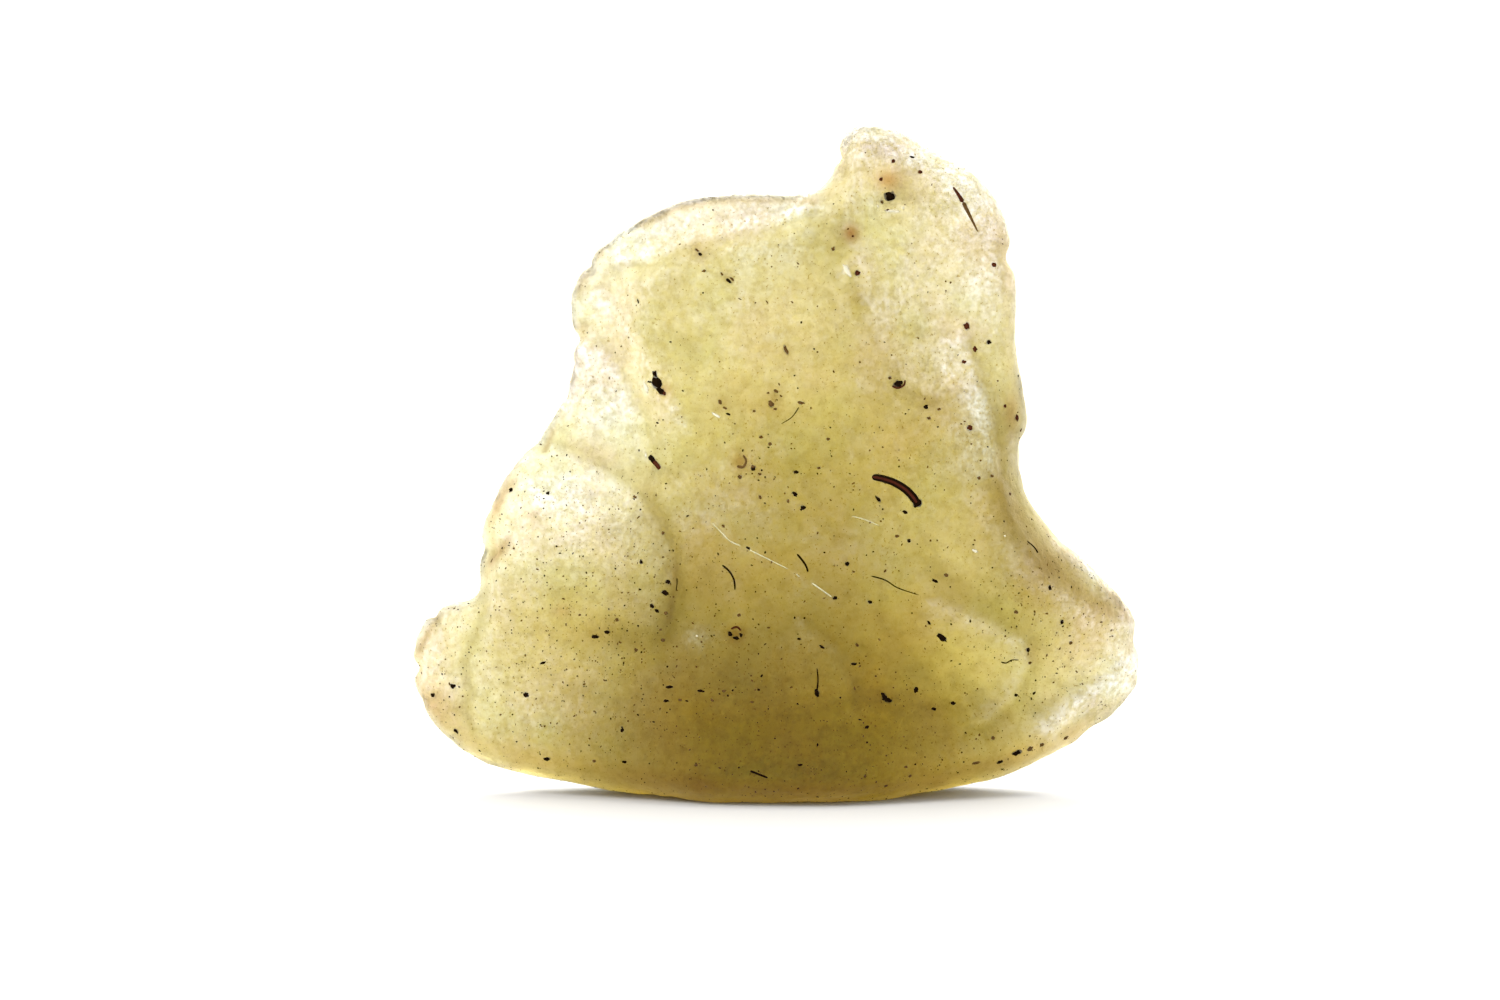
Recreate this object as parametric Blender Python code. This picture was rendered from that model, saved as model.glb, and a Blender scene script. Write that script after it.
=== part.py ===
"""One natural piece of Libyan desert glass, standing upright on its thick lower edge.

X runs to the right, Y from the front to the back and Z up. Seen from the front, the stone is a wide foot that
narrows to a thin blade with a knob at its top right. It is made as a stack of rings: they start at a point in
the middle of the front, spread out to the silhouette, and close again to a point in the middle of the back.
Lengths are in millimetres until the mesh is made, in metres.
"""

import bpy
import numpy as np

MM = 0.001

# The silhouette from the front, clockwise from the top of the knob, as (x, z). Its lowest stretch lies below
# the ground, where the flat that the stone stands on is cut.
OUTLINE = [
    (6.9, 51.2), (5.2, 50.3), (4.8, 48.2), (4.0, 46.3), (-1.3, 45.8), (-6.4, 45.5), (-10.9, 43.4),
    (-13.8, 41.2), (-15.4, 38.2), (-15.2, 35.4), (-15.4, 32.0), (-17.0, 28.4), (-20.7, 23.8), (-22.4, 19.6),
    (-22.5, 16.8), (-23.6, 14.7), (-26.2, 13.6), (-27.7, 9.6), (-26.7, 6.0), (-23.8, 3.0), (-18.4, 1.3),
    (-13.2, 0.4), (-7.5, -0.4), (0.0, -0.7), (8.0, -0.5), (14.0, 0.4), (20.6, 2.5), (26.4, 6.0),
    (28.3, 8.6), (27.8, 10.9), (27.9, 12.9), (26.2, 15.4), (21.6, 19.5), (19.4, 22.7), (18.7, 25.4),
    (19.1, 29.8), (18.4, 34.8), (18.2, 39.8), (17.5, 44.0), (15.2, 47.1), (11.4, 49.4), (8.8, 50.8),
]

# The depth: a thin blade all over, and a foot that swells towards the ground and fades up and sideways.
BLADE_THICKNESS = 2.3
FOOT_THICKNESS = 12.0
FOOT_X = 1.0
FOOT_HALF_WIDTH = 16.5
FOOT_FADE_HEIGHT = 17.0
FRONT_SHARE = 0.53

# The thin rim of the top and of the left flank: the front steps back outside this line, as (x, z). Downwards
# the shoulder widens and the step fades out, each between two heights.
THIN_RIM = [
    (4.6, 46.4), (3.3, 44.6), (0.2, 43.2), (-3.6, 42.4), (-8.9, 41.4), (-11.0, 39.6), (-11.0, 37.0),
    (-10.0, 33.0), (-9.4, 28.0), (-9.4, 23.5), (-10.0, 18.0), (-12.0, 12.0), (-32.0, 10.0), (-24.0, 50.0),
    (0.0, 56.0),
]
THIN_RIM_FADE = (11.0, 24.0)
THIN_RIM_STEP = 2.1
THIN_RIM_SHOULDER = 1.6
THIN_RIM_LOW_SHOULDER = 3.4
THIN_RIM_WIDENING = (17.0, 28.0)

# Swellings and, with a negative height, hollows: ((x, z), (half length, half width), turn in degrees, height).
FRONT_LUMPS = {
    "middle": ((2.0, 24.0), (10.0, 9.0), 0.0, 0.8),
    "middle_left_hollow": ((-7.5, 25.0), (6.0, 3.6), 90.0, -0.7),
    "left_bulge": ((-15.0, 19.6), (6.4, 5.4), 20.0, 0.8),
    "far_left_lobe": ((-25.2, 10.0), (3.4, 2.8), 90.0, -0.2),
    "knob_spine": ((6.4, 40.0), (7.0, 2.0), 102.0, 0.9),
    "right_hollow": ((12.8, 37.0), (7.5, 3.4), 80.0, -0.9),
    "neck": ((14.4, 26.6), (4.6, 3.0), 100.0, 1.2),
    "right_wedge": ((19.8, 18.8), (6.0, 3.0), 125.0, 2.3),
    "right_ridge": ((17.0, 13.6), (5.2, 1.6), 152.0, 0.9),
    "right_facet": ((14.8, 9.2), (4.0, 2.6), 60.0, -1.2),
    "right_flange": ((24.2, 8.4), (3.0, 4.0), 60.0, -0.3),
    "foot_left_hollow": ((-18.8, 7.6), (4.4, 3.4), 20.0, -0.8),
    "foot_left_swelling": ((-7.6, 8.2), (6.4, 5.4), 0.0, 0.5),
}
BACK_LUMPS = {
    "left_scallop": ((-14.8, 21.5), (5.6, 5.4), 0.0, -1.3),
    "far_left_scallop": ((-25.0, 12.0), (3.6, 4.4), 0.0, -1.2),
    "neck": ((14.4, 27.0), (4.4, 3.4), 100.0, 1.0),
    "middle_scallop": ((-2.0, 33.0), (8.0, 5.5), 40.0, -0.6),
    "middle_swelling": ((3.0, 20.0), (9.0, 7.0), 0.0, 0.5),
    "upper_ridge": ((9.5, 33.0), (9.0, 2.2), 70.0, 0.7),
    "right_scallop": ((17.5, 9.5), (5.0, 3.6), 140.0, -0.8),
    "right_shoulder": ((22.0, 16.0), (5.0, 3.0), 130.0, 1.5),
    "right_lobe": ((27.0, 10.0), (3.0, 3.6), 0.0, -1.0),
    "foot_left_swelling": ((-8.0, 9.0), (6.0, 5.0), 0.0, 0.3),
    "foot_swelling": ((-4.0, 5.5), (7.5, 4.0), 0.0, 0.4),
}
# How far the middle of the thickness lies behind the plane Y = 0, in the same terms.
SETBACKS = {
    "knob": ((9.0, 47.5), (6.0, 5.0), 0.0, 1.1),
    "far_left_lobe": ((-26.0, 9.5), (5.5, 4.5), 0.0, 1.6),
    "right_flange": ((26.5, 9.0), (6.0, 6.0), 0.0, 2.0),
    "left_flank": ((-16.0, 34.0), (9.0, 5.0), 90.0, 0.9),
    "left_bulge": ((-16.5, 20.5), (6.5, 5.0), 40.0, -1.1),
}
THINNEST_HALF = 0.65

# The rounding of the rim: as wide as the local half thickness, within these limits.
RIM_ROUNDING_LIMITS = (0.9, 3.6)

# The rings of the mesh.
POINTS_AROUND = 104
RINGS_PER_SIDE = 17
CENTRE = (1.5, 18.0)
CENTRE_ELLIPSE = (20.0, 22.0)
CURVE_STEPS = 12

GLASS_COLOUR = (0.80, 0.72, 0.43, 1.0)
GLASS_ROUGHNESS = 0.45
GLASS_IOR = 1.46
GLASS_TRANSMISSION = 0.9


def clear_scene():
    for scene_object in list(bpy.data.objects):
        bpy.data.objects.remove(scene_object, do_unlink=True)


def smooth_outline():
    """Return points spaced evenly along a closed smooth curve through the silhouette's points."""
    curve = bpy.data.curves.new("outline", "CURVE")
    curve.dimensions = "3D"
    spline = curve.splines.new("BEZIER")
    spline.bezier_points.add(len(OUTLINE) - 1)
    for point, (x, z) in zip(spline.bezier_points, OUTLINE):
        point.co = (x, 0.0, z)
        point.handle_left_type = "AUTO"
        point.handle_right_type = "AUTO"
    spline.use_cyclic_u = True
    spline.resolution_u = CURVE_STEPS
    guide = bpy.data.objects.new("outline_guide", curve)
    loop = np.array([(vertex.co.x, vertex.co.z) for vertex in guide.to_mesh().vertices])
    bpy.data.objects.remove(guide, do_unlink=True)
    bpy.data.curves.remove(curve)

    closed = np.vstack([loop, loop[:1]])
    lengths = np.hypot(*np.diff(closed, axis=0).T)
    travelled = np.concatenate([[0.0], np.cumsum(lengths)])
    stations = np.linspace(0.0, travelled[-1], POINTS_AROUND, endpoint=False)
    return np.column_stack([np.interp(stations, travelled, closed[:, axis]) for axis in (0, 1)])


def ring_points(rim):
    """Return the rings from the middle to the rim, as an array of shape (rings, points around, 2).

    Each point moves straight out from the centre. The innermost rings follow the ellipse, the outermost the rim.
    """
    reach = rim - CENTRE
    turned = reach / CENTRE_ELLIPSE
    ellipse = turned / np.hypot(*turned.T)[:, None] * CENTRE_ELLIPSE
    rings = []
    for ring in range(1, RINGS_PER_SIDE + 1):
        spread = np.sin(0.5 * np.pi * ring / RINGS_PER_SIDE)
        likeness = spread ** 2
        rings.append(CENTRE + spread * (likeness * reach + (1.0 - likeness) * ellipse))
    return np.array(rings)


def distance_to_loop(points, loop):
    """Return each point's distance to the closed loop of straight runs."""
    nearest = np.full(len(points), np.inf)
    for start, end in zip(loop, np.roll(loop, -1, axis=0)):
        run = end - start
        along = np.clip((points - start) @ run / (run @ run), 0.0, 1.0)
        nearest = np.minimum(nearest, np.hypot(*(points - start - along[:, None] * run).T))
    return nearest


def is_inside(points, loop):
    """Say for each point whether the closed loop goes round it."""
    inside = np.zeros(len(points), dtype=bool)
    x, z = points.T
    for (start_x, start_z), (end_x, end_z) in zip(loop, np.roll(loop, -1, axis=0)):
        crosses = (start_z > z) != (end_z > z)
        if start_z != end_z:
            crossing_x = start_x + (z - start_z) * (end_x - start_x) / (end_z - start_z)
            inside ^= crosses & (x < crossing_x)
    return inside


def lumps(points, features):
    """Return the summed height of the features at each point."""
    total = np.zeros(len(points))
    for (centre_x, centre_z), (half_length, half_width), turn, height in features.values():
        turn = np.radians(turn)
        x = points[:, 0] - centre_x
        z = points[:, 1] - centre_z
        along = (x * np.cos(turn) + z * np.sin(turn)) / half_length
        across = (z * np.cos(turn) - x * np.sin(turn)) / half_width
        total += height * np.exp(-(along ** 2) - across ** 2)
    return total


def foot(points):
    """Return how much the foot adds to the thickness at each point."""
    x, z = points.T
    sideways = np.exp(-(((x - FOOT_X) / FOOT_HALF_WIDTH) ** 2))
    return FOOT_THICKNESS * sideways * np.exp(-np.maximum(z, 0.0) / FOOT_FADE_HEIGHT)


def smooth_step(low, high, value):
    """Return 0 below low and 1 above high, with a smooth rise between."""
    share = np.clip((value - low) / (high - low), 0.0, 1.0)
    return share * share * (3.0 - 2.0 * share)


def thin_rim_step(points):
    """Return how far the front is stepped back at each point by the thin rim of the top and left flank."""
    loop = np.array(THIN_RIM)
    depth_inside = np.where(is_inside(points, loop), 1.0, -1.0) * distance_to_loop(points, loop)
    widening = 1.0 - smooth_step(*THIN_RIM_WIDENING, points[:, 1])
    shoulder = THIN_RIM_SHOULDER + (THIN_RIM_LOW_SHOULDER - THIN_RIM_SHOULDER) * widening
    share = smooth_step(-1.0, 1.0, depth_inside / shoulder)
    return THIN_RIM_STEP * share * smooth_step(*THIN_RIM_FADE, points[:, 1])


def rounded(half_thickness, rim_distance):
    """Return the half thickness, rounded off to nothing at the rim."""
    rounding = np.clip(half_thickness, *RIM_ROUNDING_LIMITS)
    run_out = 1.0 - np.minimum(rim_distance / rounding, 1.0)
    return half_thickness * np.sqrt(1.0 - run_out ** 2)


def surface_depths(points, rim):
    """Return the Y of the front and of the back at each point of the silhouette."""
    rim_distance = distance_to_loop(points, rim)
    middle = lumps(points, SETBACKS)
    front = 0.5 * BLADE_THICKNESS + FRONT_SHARE * foot(points) + lumps(points, FRONT_LUMPS)
    front = np.maximum(front + 0.5 * THIN_RIM_STEP - thin_rim_step(points), THINNEST_HALF)
    back = 0.5 * BLADE_THICKNESS + (1.0 - FRONT_SHARE) * foot(points) + lumps(points, BACK_LUMPS)
    back = np.maximum(back, THINNEST_HALF)
    return middle - rounded(front, rim_distance), middle + rounded(back, rim_distance)


def stone_points():
    """Return the corners of the mesh: the front's middle and rings, the rim, and the back's rings and middle."""
    rim = smooth_outline()
    rings = ring_points(rim)
    flat = np.vstack([[CENTRE], rings.reshape(-1, 2)])
    front, back = surface_depths(flat, rim)
    inner = len(flat) - POINTS_AROUND
    front_points = np.column_stack([flat[:, 0], front, flat[:, 1]])
    back_points = np.column_stack([flat[:inner, 0], back[:inner], flat[:inner, 1]])
    return front_points, back_points


def side_faces(rows, middle, turned):
    """Return one side's faces: a fan round the middle, then a strip of four-sided faces between rings."""
    faces = []
    following = np.roll(np.arange(POINTS_AROUND), -1)
    for here, there in enumerate(following):
        faces.append((middle, rows[0][here], rows[0][there]))
        for inner, outer in zip(rows[:-1], rows[1:]):
            faces.append((inner[here], outer[here], outer[there], inner[there]))
    return [face[::-1] for face in faces] if turned else faces


def stone_faces(front_count):
    """Return the faces of the front and the back, which share the ring on the rim."""
    front_rows = 1 + np.arange(front_count - 1).reshape(RINGS_PER_SIDE, POINTS_AROUND)
    back_inner = front_count + 1 + np.arange((RINGS_PER_SIDE - 1) * POINTS_AROUND)
    back_rows = np.vstack([back_inner.reshape(RINGS_PER_SIDE - 1, POINTS_AROUND), front_rows[-1:]])
    return side_faces(front_rows, 0, True) + side_faces(back_rows, front_count, False)


def centred(points):
    """Return the points moved sideways, so that the middle of their box is over the origin."""
    middle = 0.5 * (points.min(axis=0) + points.max(axis=0))
    return points - [middle[0], middle[1], 0.0]


def glass_material():
    material = bpy.data.materials.new("desert_glass")
    material.use_nodes = True
    shader = material.node_tree.nodes["Principled BSDF"]
    shader.inputs["Base Color"].default_value = GLASS_COLOUR
    shader.inputs["Roughness"].default_value = GLASS_ROUGHNESS
    shader.inputs["Metallic"].default_value = 0.0
    shader.inputs["IOR"].default_value = GLASS_IOR
    shader.inputs["Transmission Weight"].default_value = GLASS_TRANSMISSION
    return material


def ground_cutter():
    """Return a block whose top is the ground, wider and deeper than the stone."""
    width, depth, height = 80.0 * MM, 40.0 * MM, 10.0 * MM
    bpy.ops.mesh.primitive_cube_add(size=1.0, location=(0.0, 0.0, -0.5 * height))
    cutter = bpy.context.object
    cutter.name = "ground_cutter"
    cutter.scale = (width, depth, height)
    bpy.ops.object.transform_apply(location=False, rotation=False, scale=True)
    cutter.hide_render = True
    cutter.display_type = "WIRE"
    return cutter


def desert_glass():
    """Make the stone, shaded smooth, with the flat that it stands on cut at the ground."""
    front_points, back_points = stone_points()
    points = centred(np.vstack([front_points, back_points])) * MM
    faces = [tuple(int(corner) for corner in face) for face in stone_faces(len(front_points))]
    mesh = bpy.data.meshes.new("desert_glass")
    mesh.from_pydata(points.tolist(), [], faces)
    mesh.shade_smooth()
    mesh.materials.append(glass_material())
    stone = bpy.data.objects.new("desert_glass", mesh)
    bpy.context.collection.objects.link(stone)
    cut = stone.modifiers.new("standing_flat", "BOOLEAN")
    cut.operation = "DIFFERENCE"
    cut.solver = "EXACT"
    cut.object = ground_cutter()
    return stone


clear_scene()
desert_glass()
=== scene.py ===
"""The looks of a natural piece of Libyan desert glass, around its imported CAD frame.

The stone stands on the floor at Z = 0 with its front towards -Y. Blender's units are metres; MM turns
millimetres into metres. Places on the front are named by where the camera sees them, as (column, row) in a
frame of 1500 by 1000: a ray from the camera carries each one on to the stone. Places on the back are (x, z)
in millimetres. Shares and strengths run from 0 to 1, and turns are in degrees, clockwise in the frame.
"""

import math

import bmesh
import bpy
import numpy as np
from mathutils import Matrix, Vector, noise
from mathutils.bvhtree import BVHTree


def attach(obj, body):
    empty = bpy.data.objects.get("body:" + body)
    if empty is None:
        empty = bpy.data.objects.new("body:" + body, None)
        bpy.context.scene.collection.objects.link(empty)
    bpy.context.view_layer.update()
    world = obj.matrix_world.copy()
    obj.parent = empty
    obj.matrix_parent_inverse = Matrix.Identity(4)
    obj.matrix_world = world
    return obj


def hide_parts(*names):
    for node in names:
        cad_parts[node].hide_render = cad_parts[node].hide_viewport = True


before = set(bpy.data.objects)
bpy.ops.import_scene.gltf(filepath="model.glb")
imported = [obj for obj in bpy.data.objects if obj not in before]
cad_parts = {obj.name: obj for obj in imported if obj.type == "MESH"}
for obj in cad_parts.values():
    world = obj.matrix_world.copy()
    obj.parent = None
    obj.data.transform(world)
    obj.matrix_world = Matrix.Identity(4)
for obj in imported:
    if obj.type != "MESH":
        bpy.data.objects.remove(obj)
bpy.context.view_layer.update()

MM = 0.001

# The camera: a long lens, a little above the stone's middle. The frame's size is in its own columns and rows.
LENS_MM = 100.0
SENSOR_MM = 36.0
FRAME_SIZE = (1500.0, 1000.0)
FRAME_WIDTH_MM = 114.3
COLUMN_MM = FRAME_WIDTH_MM / FRAME_SIZE[0]
CAMERA_TARGET_MM = (-2.0, 0.0, 22.6)
CAMERA_ELEVATION_DEG = 6.0

# The glass: refraction, the gloss's colour, how much light each millimetre takes from red, green and blue,
# and the volume's density, which is high enough to hold all three.
GLASS_IOR = 1.46
GLOSS_TINT = (1.0, 0.88, 0.45)
ABSORPTION_PER_MM = (0.175, 0.214, 0.49)
ABSORPTION_DENSITY = 600.0
# The dusty bloom that shows where the skin is seen at a slant: weight, roughness and colour.
DUST_WEIGHT = 0.55
DUST_ROUGHNESS = 0.45
DUST_TINT = (1.0, 0.83, 0.32)

# The room: the backdrop is brighter than what stands behind the camera.
BACK_LIGHT = (2.2, 2.2, 2.2)
FRONT_LIGHT = (0.75, 0.75, 0.74)
FLOOR_SIZE = 4.0
FLOOR_WHITE = 0.82
FLOOR_ROUGHNESS = 0.8
# The light between the two changes over this much of the direction's Y, on both sides of 0.
LIGHT_CHANGE = 0.7
# The soft lights: place, aim and diameter in millimetres, and power in watts.
LIGHTS = {
    "back_light": ((0.0, 260.0, 300.0), (0.0, 120.0, 0.0), 260.0, 1.4),
    "key": ((-220.0, -160.0, 260.0), (0.0, 0.0, 20.0), 160.0, 0.6),
}

# The skin's mesh.
VOXEL_MM = 0.246
SMOOTH_STEPS = 10
SMOOTH_FACTOR = 0.5
SWELL_MM = 0.05

# Where two faces of the front meet: the line, the height of the step in millimetres, how far the painted
# highlight reaches to its lit side and the painted shade to its shaded side in columns, and the strength of
# the painted highlight, laid as bloom, and of the painted shade. Going along the line, the lit side is on
# the right.
FACET_EDGES = {
    "bulge": ([(556, 446), (600, 470), (626, 485), (646, 501), (661, 522), (671, 548), (677, 575), (677,
        605), (668, 628)], 0.3, 40, 18, 0.14, 0.46),
    "lobe": ([(935, 397), (906, 382), (886, 356), (873, 326), (860, 292), (852, 252), (840, 228), (822,
        213)], 0.08, 50, 34, 0.1, 0.28),
    "middle_crest": ([(805, 622), (834, 648), (848, 678), (856, 706)], 0.25, 34, 24, 0.12, 0.38),
    "plateau": ([(935, 600), (985, 620), (1024, 640), (1030, 662), (1012, 700), (985, 722)], 0.34, 34, 20,
        0.24, 0.5),
    "flank": ([(600, 288), (632, 330), (656, 372), (690, 425)], 0.2, 22, 26, 0.16, 0.12),
    "flank_facet": ([(584, 342), (606, 350), (626, 384), (640, 418), (649, 456)], 0.25, 44, 9, 0.28, 0.3),
    "rim": ([(806, 212), (780, 222), (740, 233), (700, 240), (676, 250), (650, 262), (622, 262)], 0.3, 16,
        18, 0.3, 0.4),
    "shoulder": ([(966, 338), (978, 374), (988, 415), (997, 470)], 0.28, 26, 16, 0.28, 0.38),
    "wedge": ([(976, 428), (956, 400), (928, 352)], 0.1, 22, 14, 0.12, 0.14),
    "neck": ([(1004, 486), (1016, 522), (1036, 560), (1062, 590), (1096, 608)], 0.25, 20, 14, 0.06, 0.25),
}
EDGE_SOFTNESS = 4.0
STEP_SOFTNESS = 7.0
EDGE_END = 9.0
# Creases (negative) and ridges (positive) on the front: points, half width in columns, height in millimetres.
FRONT_RIDGES = {
    "bulge_crease": ([(600, 470), (640, 496), (661, 522), (671, 548), (677, 590), (668, 626)], 15, -0.16),
    "lobe_crease": ([(484, 558), (483, 612), (474, 640), (467, 660), (470, 692), (464, 706), (475, 740),
        (492, 762)], 9, -0.28),
    "foot_valley": ([(925, 545), (948, 572), (985, 600), (1012, 622)], 20, -0.4),
    "middle_hollow": ([(866, 650), (872, 676), (890, 696), (925, 702)], 16, -0.3),
    "right_band": ([(1046, 728), (1074, 703), (1100, 690), (1120, 675), (1131, 656)], 11, 0.35),
    "under_right_band": ([(1064, 736), (1088, 718), (1112, 706), (1130, 688)], 10, -0.25),
    "upper_vein_swell": ([(700, 516), (730, 540), (780, 566), (836, 600)], 7, 0.06),
}
# Swellings and hollows: centre, half length and half width in columns, turn, height in millimetres.
FRONT_DIMPLES = {
    "bulge_top": ((575, 505), (62, 44), 20, 0.3), "facet_plateau": ((972, 662), (46, 40), 30, 0.45),
    "mid_left_swelling": ((700, 632), (34, 28), 0, 0.25),
    "foot_left_swelling": ((560, 700), (70, 40), 0, 0.3), "knob_hollow": ((905, 195), (26, 34), 0, -0.3),
    "lobe_hollow": ((935, 320), (34, 48), 20, -0.25), "upper_hollow": ((690, 345), (26, 34), 10, -0.2),
    "body_hollow": ((780, 725), (46, 30), 0, -0.25), "body_swelling": ((845, 560), (60, 40), 30, 0.2),
    "lobe_face": ((440, 660), (20, 28), 0, 0.25), "right_lobe_dent": ((1122, 632), (10, 10), 0, -0.15),
    "left_lobe_dent": ((434, 692), (10, 9), 0, -0.3), "ring_pit": ((740, 461), (6, 6), 0, -0.25),
    "double_pit": ((896, 383), (8, 6), 30, -0.25), "low_ring_pit": ((735, 633), (8, 7), 0, -0.25),
    "wedge_pit": ((660, 386), (8, 14), -25, -0.45), "wedge_pit_lip": ((646, 388), (5, 9), 0, 0.3),
    "knob_pit": ((890, 198), (8, 7), 0, -0.45), "knob_pit_lip": ((892, 211), (12, 4), 0, 0.25),
    "red_pit": ((857, 273), (5, 5), 0, -0.25), "red_pit_lip": ((847, 270), (6, 12), 35, 0.3),
}
# Bites out of the edge, and two swellings, with negative depths: centre, radius in columns, depth in
# millimetres.
EDGE_BITES = {
    "left_1": ((592, 267), 7, 0.7), "left_2": ((579, 339), 8, 0.7), "left_3": ((612, 246), 7, 0.4),
    "left_4": ((570, 398), 7, 0.5), "left_5": ((573, 420), 5, 0.35), "left_6": ((545, 447), 8, 0.95),
    "left_7": ((522, 476), 6, 0.6), "left_8": ((503, 500), 6, 0.45), "left_9": ((489, 549), 9, 1.00),
    "notch": ((474, 592), 13, 0.55), "lobe_1": ((437, 620), 6, 0.6), "lobe_2": ((416, 668), 7, 0.5),
    "lobe_3": ((428, 698), 7, 0.45), "lobe_4": ((455, 734), 8, 0.52), "knob_1": ((838, 158), 8, 0.45),
    "right_1": ((1008, 258), 12, 0.55), "right_2": ((1022, 442), 8, 0.25),
    "right_3": ((1117, 606), 6, 0.4), "right_5": ((1090, 728), 12, 0.25),
    "flange": ((1078, 563), 26, -0.35), "right_bump": ((1020, 424), 26, -0.32),
}
# How far the skin turns to the camera, and away from it, where the front and the back relief set in.
FRONT_TURN = (-0.05, 0.35)
BACK_TURN = (0.05, 0.4)
# Shallow scallops on the back, as on any wind-worn piece: (x, z), radius and depth in millimetres.
BACK_SCALLOPS = {
    "upper_left": ((-8.5, 38.5), 5.2, 0.55), "upper_middle": ((0.5, 39), 4.6, 0.45),
    "knob": ((9, 45), 4.2, 0.4), "right_upper": ((13.5, 37.5), 4.8, 0.5), "middle": ((5, 30), 6, 0.55),
    "left_middle": ((-8, 29), 5.5, 0.55), "right_middle": ((14.5, 25.5), 4.8, 0.45),
    "low_middle": ((0, 17.5), 6.4, 0.65), "low_right": ((12, 13), 5.8, 0.6),
    "right_lobe": ((22.5, 9.5), 4.4, 0.5), "left_lobe": ((-24, 8), 3.4, 0.35), "foot": ((3, 6.5), 5, 0.5),
}
SCALLOP_SOFTNESS = 1.6
# How far the scallops' edges stray, over which wavelength, and where the noise is read for x and for z.
WANDER_MM = 2.6
WANDER_WAVE_MM = 6.0
WANDER_SEEDS = ((3.7, 12.1, 5.3), (19.4, 7.9, 26.6))
# Relief all over: wavelength and height in millimetres.
WAVES_MM = ((7, 0.26), (3.2, 0.13), (1.5, 0.055), (0.8, 0.022))
WAVE_SEEDS = (11.3, 27.9, 43.1, 61.7)
PIT_COUNT = 420
PIT_RADIUS_MM = (0.35, 1)
PIT_DEPTH_SHARE = 0.1
PIT_SEED = 7

# How far the skin turns to the front, and then to the sides, where the painted looks set in and are full.
FRONT_SHARE = (0.0, 0.3)
SIDE_SHARE = (0.45, 0.95)
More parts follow.
